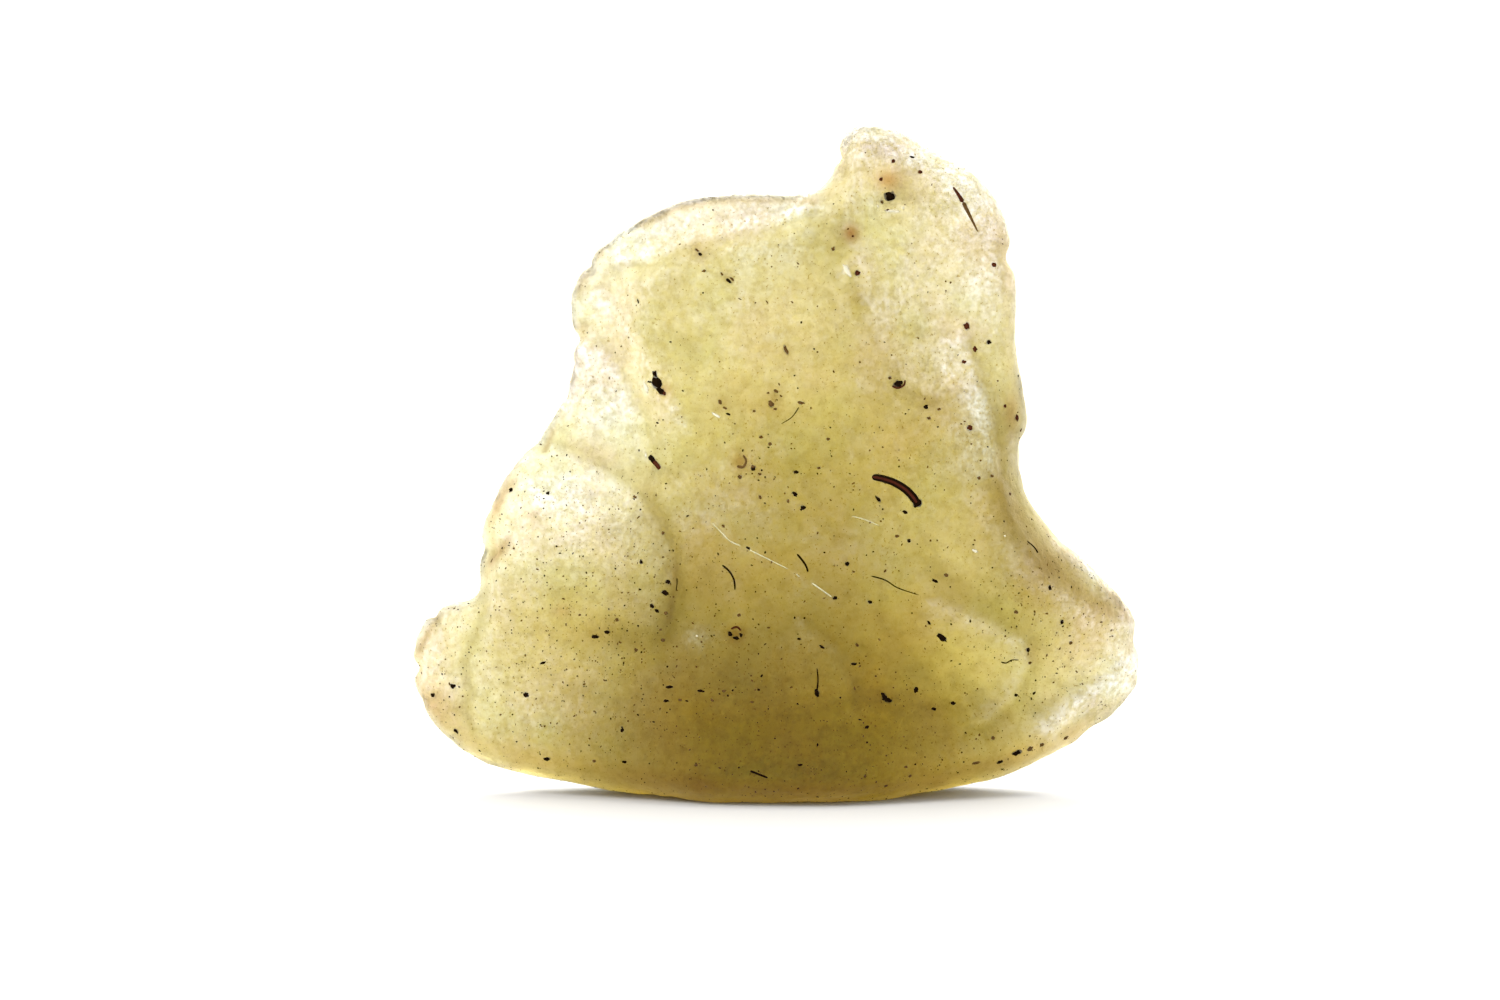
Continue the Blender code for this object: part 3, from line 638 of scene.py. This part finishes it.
def ridge_heights(places):
    """Return the height in millimetres of the creases and ridges at each frame place."""
    height = np.zeros(len(places))
    for line, half_width, rise in FRONT_RIDGES.values():
        height += rise * beside_line(places, line, half_width)
    for line, step, reach, _, _, _ in FACET_EDGES.values():
        distance, side = distance_to_line(places, line)
        lit = smooth_step(-STEP_SOFTNESS, STEP_SOFTNESS, distance * side)
        height += step * np.exp(-distance / reach) * lit * within_ends(places, line)
    return height


def sculpt(points, normals):
    """Return the points with the relief of the front, back and edges added along the normals."""
    places = frame_places(points)
    to_eye = camera_axes()[0] - points
    to_eye /= np.linalg.norm(to_eye, axis=1)[:, None]
    facing = np.sum(normals * to_eye, axis=1)
    front = smooth_step(*FRONT_TURN, facing)
    height = ridge_heights(places)
    for centre, half_sizes, turn, rise in FRONT_DIMPLES.values():
        height += rise * oval(places, centre, half_sizes, turn)
    height *= front
    bite = np.zeros(len(points))
    for centre, radius, depth in EDGE_BITES.values():
        bite += depth * oval(places, centre, (radius, radius), 0.0)
    behind = smooth_step(*BACK_TURN, -facing)
    flat = points[:, [0, 2]] / MM + wander(points)
    for centre, radius, depth in BACK_SCALLOPS.values():
        share = np.clip(1.0 - np.sum((flat - centre) ** 2, axis=1) / radius ** 2, 0.0, 1.0)
        height -= depth * behind * share ** SCALLOP_SOFTNESS
    height += SWELL_MM + wave_heights(points) + pit_heights(points)
    inward = normals * (-1.0, 0.0, -1.0)
    moved = points + (normals * height[:, None] + inward * bite[:, None]) * MM
    moved[:, 2] = np.maximum(moved[:, 2], 0.0)
    return moved


def hollowness(mesh, points, normals):
    """Return how hollow the skin is round each point, in units of HOLLOW_MM, negative on crests."""
    edges = np.empty(len(mesh.edges) * 2, dtype=np.int32)
    mesh.edges.foreach_get("vertices", edges)
    edges = edges.reshape(-1, 2)
    ends = np.concatenate([edges[:, 0], edges[:, 1]])
    others = np.concatenate([edges[:, 1], edges[:, 0]])
    neighbours = np.bincount(ends, minlength=len(points))[:, None]
    soft = points
    for _ in range(HOLLOW_STEPS):
        sums = np.column_stack([np.bincount(ends, soft[others, axis], len(points)) for axis in range(3)])
        soft = 0.5 * soft + 0.5 * sums / neighbours
    return np.sum((soft - points) * normals, axis=1) / (HOLLOW_MM * MM)


def front_share(normals):
    """Return a share that is 1 where the skin faces the front and 0 where it faces sideways or back."""
    return smooth_step(*FRONT_SHARE, -normals[:, 1])


def side_share(normals):
    """Return a share that is 0 where the skin faces the front or the back and 1 where it faces sideways."""
    return smooth_step(*SIDE_SHARE, 1.0 - np.abs(normals[:, 1]))


def foot_share(points):
    """Return a share that is 1 in the thick middle of the foot and 0 well above it and to its sides."""
    low = 1.0 - smooth_step(*FOOT_TINT_HEIGHTS, points[:, 2] / MM)
    return low * (1.0 - smooth_step(*FOOT_TINT_REACH, np.abs(points[:, 0] / MM - FOOT_TINT_X)))


def clouds(points, wavelength, seed, octaves):
    """Return a soft noise at each point, about as often below 0 as above it."""
    shift = Vector(seed)
    places = [Vector(place) + shift for place in points / (wavelength * MM)]
    return np.array([noise.fractal(place, CLOUD_FALL, CLOUD_GAP, octaves) for place in places])


def toned(colour, share, tone):
    """Return the colour multiplied by the tone, as far as each point's share goes; the tones are stains,
    tints and painted shade.
    """
    return colour * (1.0 - share[:, None] * (1.0 - np.array(tone)))


def tints_and_shade(points, normals, hollow):
    """Return each point's colour: patches of rose and green, the front's stains, and painted shade on the
    front and in the hollows.
    """
    places = frame_places(points)
    front = front_share(normals)
    patch = clouds(points, TINT_WAVE_MM, TINT_SEED, 3)
    rose = smooth_step(0.0, TINT_EDGE, patch)[:, None]
    green = smooth_step(0.0, TINT_EDGE, -patch)[:, None]
    colour = np.array(CLEAR_TINT) * (1.0 - rose - green) + rose * ROSE_TINT + green * GREEN_TINT
    for tone, ovals in STAINS_AND_SHADE.items():
        for centre, half_sizes, turn, strength in ovals.values():
            colour = toned(colour, strength * front * oval(places, centre, half_sizes, turn), tone)
    for tone, lines in STAIN_AND_SHADE_LINES.items():
        for line, half_width, strength in lines.values():
            colour = toned(colour, strength * front * beside_line(places, line, half_width), tone)
    # Painted shade on the shaded side of each facet edge.
    for line, _, _, reach, _, strength in FACET_EDGES.values():
        colour = toned(colour, strength * front * one_sided(places, line, -reach), SHADE)
    colour = toned(colour, side_share(normals), SIDE_TINT)
    colour = toned(colour, foot_share(points), FOOT_TINT)
    # Painted shade in the hollows.
    colour = toned(colour, np.clip(HOLLOW_SHADE * hollow, 0.0, MOST_HOLLOW_SHADE), SHADE)
    return np.clip(colour, 0.0, 1.0)


def frost_and_highlight(points, normals, hollow):
    """Return how much of the light each point of the skin scatters, from 0 to 1, with painted highlight on
    lit places.
    """
    places = frame_places(points)
    front = BACK_FROST_SHARE + (1.0 - BACK_FROST_SHARE) * front_share(normals)
    total = np.full(len(points), EVEN_FROST)
    # Bloom, which is partly painted highlight on faces turned to the light.
    for centre, half_sizes, turn, strength in FROST_AND_HIGHLIGHT.values():
        total += strength * front * oval(places, centre, half_sizes, turn)
    for line, half_width, strength in FROST_AND_HIGHLIGHT_LINES.values():
        total += strength * front * beside_line(places, line, half_width)
    # Painted highlight, laid as bloom, on the lit side of each facet edge.
    for line, _, reach, _, light, _ in FACET_EDGES.values():
        total += light * front * one_sided(places, line, reach)
    total *= 1.0 + FROST_WAVE_SHARE * clouds(points, FROST_WAVE_MM, FROST_SEED, 4)
    # Painted highlight, laid as bloom, on the crests.
    total += front * np.clip(-CREST_HIGHLIGHT * hollow, 0.0, MOST_CREST_HIGHLIGHT)
    total += EDGE_FROST * side_share(normals)
    for centre, half_sizes, turn, share in CLEAR_PLACES.values():
        total *= 1.0 - share * np.sqrt(oval(places, centre, half_sizes, turn))
    return np.clip(total + FOOT_FROST * foot_share(points), 0.0, 1.0)


def colour_layer(mesh, name, colours):
    """Store a colour for each corner point of the mesh."""
    layer = mesh.color_attributes.new(name, "FLOAT_COLOR", "POINT")
    solid = np.column_stack([colours, np.ones(len(colours))])
    layer.data.foreach_set("color", solid.astype(np.float32).ravel())


def noise_value(tree, look):
    """Add a noise over the object's own coordinates and return its value."""
    place = tree.nodes.new("ShaderNodeTexCoord")
    texture = tree.nodes.new("ShaderNodeTexNoise")
    for name, value in zip(("Scale", "Detail", "Roughness"), look):
        texture.inputs[name].default_value = value
    tree.links.new(place.outputs["Object"], texture.inputs["Vector"])
    return texture.outputs["Fac"]


def spread(tree, value, low, high):
    """Spread the middle of a noise over the range from low to high."""
    node = tree.nodes.new("ShaderNodeMapRange")
    node.inputs["From Min"].default_value, node.inputs["From Max"].default_value = NOISE_MIDDLE
    node.inputs["To Min"].default_value = low
    node.inputs["To Max"].default_value = high
    tree.links.new(value, node.inputs["Value"])
    return node.outputs["Result"]


def speckled(tree, colour, value, shades):
    """Multiply the colour by a darker one where the value is low, between the two limits."""
    low, high, dark = shades
    ramp = tree.nodes.new("ShaderNodeValToRGB")
    for element, position, shade in zip(ramp.color_ramp.elements, (low, high), (dark, (1.0, 1.0, 1.0))):
        element.position = position
        element.color = (*shade, 1.0)
    tree.links.new(value, ramp.inputs["Fac"])
    mix = tree.nodes.new("ShaderNodeMix")
    mix.data_type = "RGBA"
    mix.blend_type = "MULTIPLY"
    mix.inputs["Factor"].default_value = 1.0
    tree.links.new(colour, mix.inputs["A"])
    tree.links.new(ramp.outputs["Color"], mix.inputs["B"])
    return mix.outputs["Result"]


def calculated(tree, operation, first, second):
    """Return the result of a sum on two values, each a socket or a number; a subtraction is held between 0
    and 1.
    """
    node = tree.nodes.new("ShaderNodeMath")
    node.operation = operation
    node.use_clamp = operation == "SUBTRACT"
    for socket, value in zip(node.inputs, (first, second)):
        if isinstance(value, float):
            socket.default_value = value
        else:
            tree.links.new(value, socket)
    return node.outputs["Value"]


def layer_colour(tree, name):
    node = tree.nodes.new("ShaderNodeVertexColor")
    node.layer_name = name
    return node.outputs["Color"]


def new_material(name):
    """Return a new material with its node tree and its shader."""
    material = bpy.data.materials.new(name)
    material.use_nodes = True
    return material, material.node_tree, material.node_tree.nodes["Principled BSDF"]


def add_bump(tree, shader, value, strength, height_mm):
    """Let the value raise the surface that the shader draws."""
    bump = tree.nodes.new("ShaderNodeBump")
    bump.inputs["Strength"].default_value = strength
    bump.inputs["Distance"].default_value = height_mm * MM
    tree.links.new(value, bump.inputs["Height"])
    tree.links.new(bump.outputs["Normal"], shader.inputs["Normal"])


def glass_material():
    material, tree, shader = new_material("frosted_desert_glass")
    links = tree.links
    shader.inputs["IOR"].default_value = GLASS_IOR
    shader.inputs["Specular Tint"].default_value = (*GLOSS_TINT, 1.0)
    shader.inputs["Sheen Weight"].default_value = DUST_WEIGHT
    shader.inputs["Sheen Roughness"].default_value = DUST_ROUGHNESS
    shader.inputs["Sheen Tint"].default_value = (*DUST_TINT, 1.0)
    colour = speckled(tree, layer_colour(tree, "tint_and_shade"), noise_value(tree, MOTTLE_NOISE), MOTTLE_SHADES)
    colour = speckled(tree, colour, noise_value(tree, PEPPER_NOISE), PEPPER_SHADES)
    links.new(colour, shader.inputs["Base Color"])
    sugar = spread(tree, noise_value(tree, SUGAR_NOISE), *SUGAR_RANGE)
    bloom_and_highlight = calculated(tree, "MULTIPLY", layer_colour(tree, "frost_and_highlight"), sugar)
    links.new(calculated(tree, "SUBTRACT", 1.0, bloom_and_highlight), shader.inputs["Transmission Weight"])
    links.new(spread(tree, noise_value(tree, GLOSS_NOISE), *ROUGHNESS_RANGE), shader.inputs["Roughness"])
    add_bump(tree, shader, noise_value(tree, GRAIN_NOISE), GRAIN_STRENGTH, GRAIN_MM)
    absorption = tree.nodes.new("ShaderNodeVolumeAbsorption")
    colour = [1.0 - per_mm / MM / ABSORPTION_DENSITY for per_mm in ABSORPTION_PER_MM]
    absorption.inputs["Color"].default_value = (*colour, 1.0)
    absorption.inputs["Density"].default_value = ABSORPTION_DENSITY
    links.new(absorption.outputs["Volume"], tree.nodes["Material Output"].inputs["Volume"])
    return material


def mark_material(name, dark, light, scale, roughness, gloss):
    """Return an uneven matt material that runs between two colours."""
    material, tree, shader = new_material(name)
    unevenness = noise_value(tree, (scale, MARK_DETAIL))
    mix = tree.nodes.new("ShaderNodeMix")
    mix.data_type = "RGBA"
    mix.inputs["A"].default_value = (*dark, 1.0)
    mix.inputs["B"].default_value = (*light, 1.0)
    tree.links.new(unevenness, mix.inputs["Factor"])
    tree.links.new(mix.outputs["Result"], shader.inputs["Base Color"])
    shader.inputs["Roughness"].default_value = roughness
    shader.inputs["Specular IOR Level"].default_value = gloss
    add_bump(tree, shader, unevenness, MARK_BUMP_STRENGTH, MARK_BUMP_MM)
    return material


def even_mesh():
    """Return the CAD stone's mesh, made even and fine, with its facets smoothed."""
    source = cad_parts["desert_glass"]
    guide = bpy.data.objects.new("guide", source.data.copy())
    bpy.context.scene.collection.objects.link(guide)
    remesh = guide.modifiers.new("even_mesh", "REMESH")
    remesh.mode = "VOXEL"
    remesh.voxel_size = VOXEL_MM * MM
    smooth = guide.modifiers.new("smooth", "SMOOTH")
    smooth.factor = SMOOTH_FACTOR
    smooth.iterations = SMOOTH_STEPS
    depsgraph = bpy.context.evaluated_depsgraph_get()
    mesh = bpy.data.meshes.new_from_object(guide.evaluated_get(depsgraph))
    bpy.data.objects.remove(guide, do_unlink=True)
    return mesh


def stone_skin(material):
    mesh = even_mesh()
    points, normals = mesh_arrays(mesh)
    points = sculpt(points, normals)
    mesh.vertices.foreach_set("co", points.astype(np.float32).ravel())
    mesh.update()
    points, normals = mesh_arrays(mesh)
    hollow = hollowness(mesh, points, normals)
    colour_layer(mesh, "tint_and_shade", tints_and_shade(points, normals, hollow))
    colour_layer(mesh, "frost_and_highlight", np.repeat(frost_and_highlight(points, normals, hollow)[:, None], 3, axis=1))
    mesh.shade_smooth()
    mesh.materials.clear()
    mesh.materials.append(material)
    skin = bpy.data.objects.new("stone_skin", mesh)
    bpy.context.scene.collection.objects.link(skin)
    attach(skin, "root")
    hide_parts("desert_glass")
    return skin


def on_front(tree, place):
    """Return where the camera's ray through a frame place meets the stone, and the outward direction."""
    eye, right, up, forward = camera_axes()
    focal = LENS_MM / SENSOR_MM * FRAME_SIZE[0]
    ray = forward * focal + right * (place[0] - 0.5 * FRAME_SIZE[0]) + up * (0.5 * FRAME_SIZE[1] - place[1])
    ray /= np.linalg.norm(ray)
    point, normal, _, _ = tree.ray_cast(Vector(eye), Vector(ray))
    if point is None:
        reach = (np.array(CAMERA_TARGET_MM) * MM - eye) @ forward / (ray @ forward)
        point, normal, _, _ = tree.find_nearest(Vector(eye + reach * ray))
    return np.array(point), np.array(normal)


def unit_ball(steps):
    bm = bmesh.new()
    bmesh.ops.create_icosphere(bm, subdivisions=steps, radius=1.0)
    corners = np.array([vertex.co for vertex in bm.verts])
    faces = np.array([[vertex.index for vertex in face.verts] for face in bm.faces])
    bm.free()
    return corners, faces


class Shell:
    """Corners and faces gathered for one mesh."""

    def __init__(self):
        self.corners = []
        self.faces = []
        self.count = 0

    def add(self, corners, faces):
        self.corners.append(corners)
        self.faces += [tuple(int(index) + self.count for index in face) for face in faces]
        self.count += len(corners)

    def piece(self, name, material):
        mesh = bpy.data.meshes.new(name)
        mesh.from_pydata(np.vstack(self.corners).tolist(), [], self.faces)
        mesh.shade_smooth()
        mesh.materials.append(material)
        thing = bpy.data.objects.new(name, mesh)
        bpy.context.scene.collection.objects.link(thing)
        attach(thing, "root")
        return thing


def grain_corners(ball, random, point, normal, along, half_sizes, sunk):
    """Return an uneven grain's corners: half sizes in metres along, across and out of the surface."""
    along = along - (along @ normal) * normal
    along /= np.linalg.norm(along)
    across = np.cross(normal, along)
    corners = ball * (1.0 + random.uniform(-GRAIN_UNEVENNESS, GRAIN_UNEVENNESS, (len(ball), 1)))
    shift = point - sunk * half_sizes[2] * normal
    scaled = corners * half_sizes
    return shift + scaled[:, :1] * along + scaled[:, 1:2] * across + scaled[:, 2:] * normal


def named_grains(shells, tree, regions, flatness, sunk, seed):
    """Add the named grains, each where the camera's ray through its place meets the stone.

    The first shell takes the large ones and the last one the small ones.
    """
    random = np.random.default_rng(seed)
    ball, faces = unit_ball(2)
    _, right, up, _ = camera_axes()
    for grains in regions.values():
        for column, row, half_length, half_width, turn in grains:
            point, normal = on_front(tree, (column, row))
            turn = math.radians(turn)
            along = right * math.cos(turn) - up * math.sin(turn)
            scale = (SMALL_GRAIN_SCALE + GRAIN_SCALE_RISE * half_length) * COLUMN_MM * MM
            sizes = np.array([half_length, half_width, flatness * half_width]) * scale
            shell = shells[0] if half_length >= LARGE_GRAIN else shells[-1]
            shell.add(grain_corners(ball, random, point, normal, along, sizes, sunk), faces)


def fine_grains(dark, brown, points, normals):
    """Scatter fine grains over the stone, closest together on the lower front."""
    random = np.random.default_rng(FINE_GRAIN_SEED)
    ball, faces = unit_ball(1)
    places = frame_places(points)
    low = smooth_step(*CROWD_ROWS, places[:, 1])
    crowd = CROWD_BASE + CROWD_LOW * low
    for centre, half_sizes, turn, strength in CROWDS.values():
        crowd += strength * oval(places, centre, half_sizes, turn)
    chances = [
        np.where(normals[:, 1] < CROWD_TURNS[0], crowd, 0.0),
        np.where(normals[:, 1] > CROWD_TURNS[1], CROWD_BACK + CROWD_LOW * low, 0.0),
    ]
    front_count = int(FINE_GRAINS * FINE_FRONT_SHARE)
    counts = (front_count, FINE_GRAINS - front_count)
    chosen = np.concatenate([
        random.choice(len(points), count, replace=False, p=chance / chance.sum())
        for count, chance in zip(counts, chances)
    ])
    low_mm, high_mm = FINE_GRAIN_MM
    for index in chosen:
        size = low_mm + (high_mm - low_mm) * random.random() ** FINE_SIZE_BIAS
        stretch = 1.0 + FINE_STRETCH * random.random() ** 3
        along = random.normal(size=3)
        sizes = np.array([size * stretch, size, FINE_FLATNESS * size]) * MM
        shell = dark if random.random() < FINE_DARK_SHARE else brown
        corners = grain_corners(ball, random, points[index], normals[index], along, sizes, FINE_SUNK)
        shell.add(corners, faces)


def smooth_line(points, steps):
    """Return points along a smooth curve through the given ones."""
    padded = np.array([points[0]] + list(points) + [points[-1]], dtype=float)
    result = []
    for index in range(1, len(padded) - 2):
        before, start, end, after = padded[index - 1:index + 3]
        for step in range(steps):
            t = step / steps
            result.append(0.5 * (2.0 * start + (end - before) * t
                                 + (2.0 * before - 5.0 * start + 4.0 * end - after) * t ** 2
                                 + (3.0 * start - before - 3.0 * end + after) * t ** 3))
    result.append(padded[-2])
    return np.array(result)


def add_thread(shell, tree, line, start_width, end_width, flatness, sunk, sides=8, steps=5):
    """Add a round thread that lies in the surface along a line of frame places."""
    places = smooth_line(line, steps)
    spots = [on_front(tree, place) for place in places]
    centres = np.array([spot[0] for spot in spots])
    normals = np.array([spot[1] for spot in spots])
    runs = np.gradient(centres, axis=0)
    runs /= np.linalg.norm(runs, axis=1)[:, None]
    count = len(centres)
    along = np.linspace(0.0, 1.0, count)
    taper = np.sqrt(np.clip(1.0 - (2.0 * along - 1.0) ** THREAD_TAPER, THREAD_TIP, 1.0))
    radii = (start_width + (end_width - start_width) * along) * taper * COLUMN_MM * MM
    angles = np.arange(sides) * 2.0 * np.pi / sides
    rings = []
    for centre, normal, run, radius in zip(centres, normals, runs, radii):
        side = np.cross(run, normal)
        side /= np.linalg.norm(side)
        out = np.cross(side, run)
        centre = centre - sunk * flatness * radius * normal
        circle = np.cos(angles)[:, None] * side + flatness * np.sin(angles)[:, None] * out
        rings.append(centre + radius * circle)
    faces = []
    for ring in range(count - 1):
        for side in range(sides):
            here, there = ring * sides + side, ring * sides + (side + 1) % sides
            faces.append((here, there, there + sides, here + sides))
    faces.append(tuple(range(sides))[::-1])
    faces.append(tuple((count - 1) * sides + side for side in range(sides)))
    shell.add(np.vstack(rings), faces)


def add_threads(shell, tree, threads, flatness, sunk):
    for line, start_width, end_width in threads.values():
        add_thread(shell, tree, line, start_width, end_width, flatness, sunk)


def marks(skin):
    """Lay the grains, threads, veins and chips in the stone's surface."""
    points, normals = mesh_arrays(skin.data)
    tree = BVHTree.FromPolygons(points.tolist(), [tuple(face.vertices) for face in skin.data.polygons])
    shells = {name: Shell() for name in MARK_LOOKS}
    dark, brown, rust = shells["dark_grains"], shells["brown_grains"], shells["rust_grains"]

    named_grains([dark, brown], tree, DARK_GRAINS, flatness=0.6, sunk=0.25, seed=3)
    named_grains([brown], tree, BROWN_GRAINS, flatness=0.5, sunk=0.35, seed=15)
    fine_grains(dark, brown, points, normals)
    add_threads(dark, tree, DARK_THREADS, flatness=0.8, sunk=0.2)

    named_grains([rust], tree, RUST_GRAINS, flatness=0.6, sunk=0.25, seed=5)
    add_threads(brown, tree, BROWN_THREADS, flatness=0.7, sunk=0.3)
    add_threads(rust, tree, RUST_THREADS, flatness=0.7, sunk=0.3)

    line, start_width, end_width = WORM
    named_grains([dark], tree, {"worm_end": [(*line[-1], *WORM_END)]}, flatness=0.6, sunk=0.25, seed=11)
    add_thread(dark, tree, line, start_width, end_width, flatness=0.6, sunk=0.1, sides=12)
    start_width, end_width = WORM_CORE_SHARE * start_width, WORM_CORE_SHARE * end_width
    core = shells["worm_inclusion"]
    add_thread(core, tree, line, start_width, end_width, flatness=1.3, sunk=-0.1, sides=12)

    named_grains([shells["pale_chips_and_glints"]], tree, PALE_CHIPS_AND_GLINTS, flatness=0.35, sunk=0.2, seed=9)
    add_threads(shells["pale_veins"], tree, PALE_THREADS, flatness=0.7, sunk=0.2)

    for name, look in MARK_LOOKS.items():
        shells[name].piece(name, mark_material(name + "_look", *look))


def floor():
    bpy.ops.mesh.primitive_plane_add(size=FLOOR_SIZE, location=(0.0, 0.0, 0.0))
    plane = bpy.context.object
    plane.name = "floor"
    material, _, shader = new_material("pale_floor")
    shader.inputs["Base Color"].default_value = (FLOOR_WHITE, FLOOR_WHITE, FLOOR_WHITE, 1.0)
    shader.inputs["Roughness"].default_value = FLOOR_ROUGHNESS
    shader.inputs["Specular IOR Level"].default_value = 0.0
    plane.data.materials.append(material)


def area_light(name, place_mm, aim_mm, size_mm, power):
    data = bpy.data.lights.new(name, "AREA")
    data.shape = "DISK"
    data.size = size_mm * MM
    data.energy = power
    light = bpy.data.objects.new(name, data)
    bpy.context.scene.collection.objects.link(light)
    place, aim = Vector(place_mm) * MM, Vector(aim_mm) * MM
    light.location = place
    light.rotation_euler = (aim - place).to_track_quat("-Z", "Y").to_euler()


def lights():
    world = bpy.data.worlds.new("white_room")
    world.use_nodes = True
    nodes, links = world.node_tree.nodes, world.node_tree.links
    direction = nodes.new("ShaderNodeTexCoord")
    split = nodes.new("ShaderNodeSeparateXYZ")
    ramp = nodes.new("ShaderNodeMapRange")
    ramp.interpolation_type = "SMOOTHSTEP"
    ramp.inputs["From Min"].default_value = -LIGHT_CHANGE
    ramp.inputs["From Max"].default_value = LIGHT_CHANGE
    mix = nodes.new("ShaderNodeMix")
    mix.data_type = "RGBA"
    mix.inputs["A"].default_value = (*FRONT_LIGHT, 1.0)
    mix.inputs["B"].default_value = (*BACK_LIGHT, 1.0)
    links.new(direction.outputs["Generated"], split.inputs["Vector"])
    links.new(split.outputs["Y"], ramp.inputs["Value"])
    links.new(ramp.outputs["Result"], mix.inputs["Factor"])
    links.new(mix.outputs["Result"], nodes["Background"].inputs["Color"])
    bpy.context.scene.world = world
    for name, (place_mm, aim_mm, size_mm, power) in LIGHTS.items():
        area_light(name, place_mm, aim_mm, size_mm, power)


def camera():
    data = bpy.data.cameras.new("camera")
    data.lens = LENS_MM
    data.sensor_width = SENSOR_MM
    data.clip_start = 0.01
    data.clip_end = 10.0
    eye, _, _, forward = camera_axes()
    view = bpy.data.objects.new("camera", data)
    view.location = eye
    view.rotation_euler = Vector(forward).to_track_quat("-Z", "Y").to_euler()
    bpy.context.scene.collection.objects.link(view)
    bpy.context.scene.camera = view
    bpy.context.scene.view_settings.view_transform = "Standard"


camera()
lights()
floor()
marks(stone_skin(glass_material()))
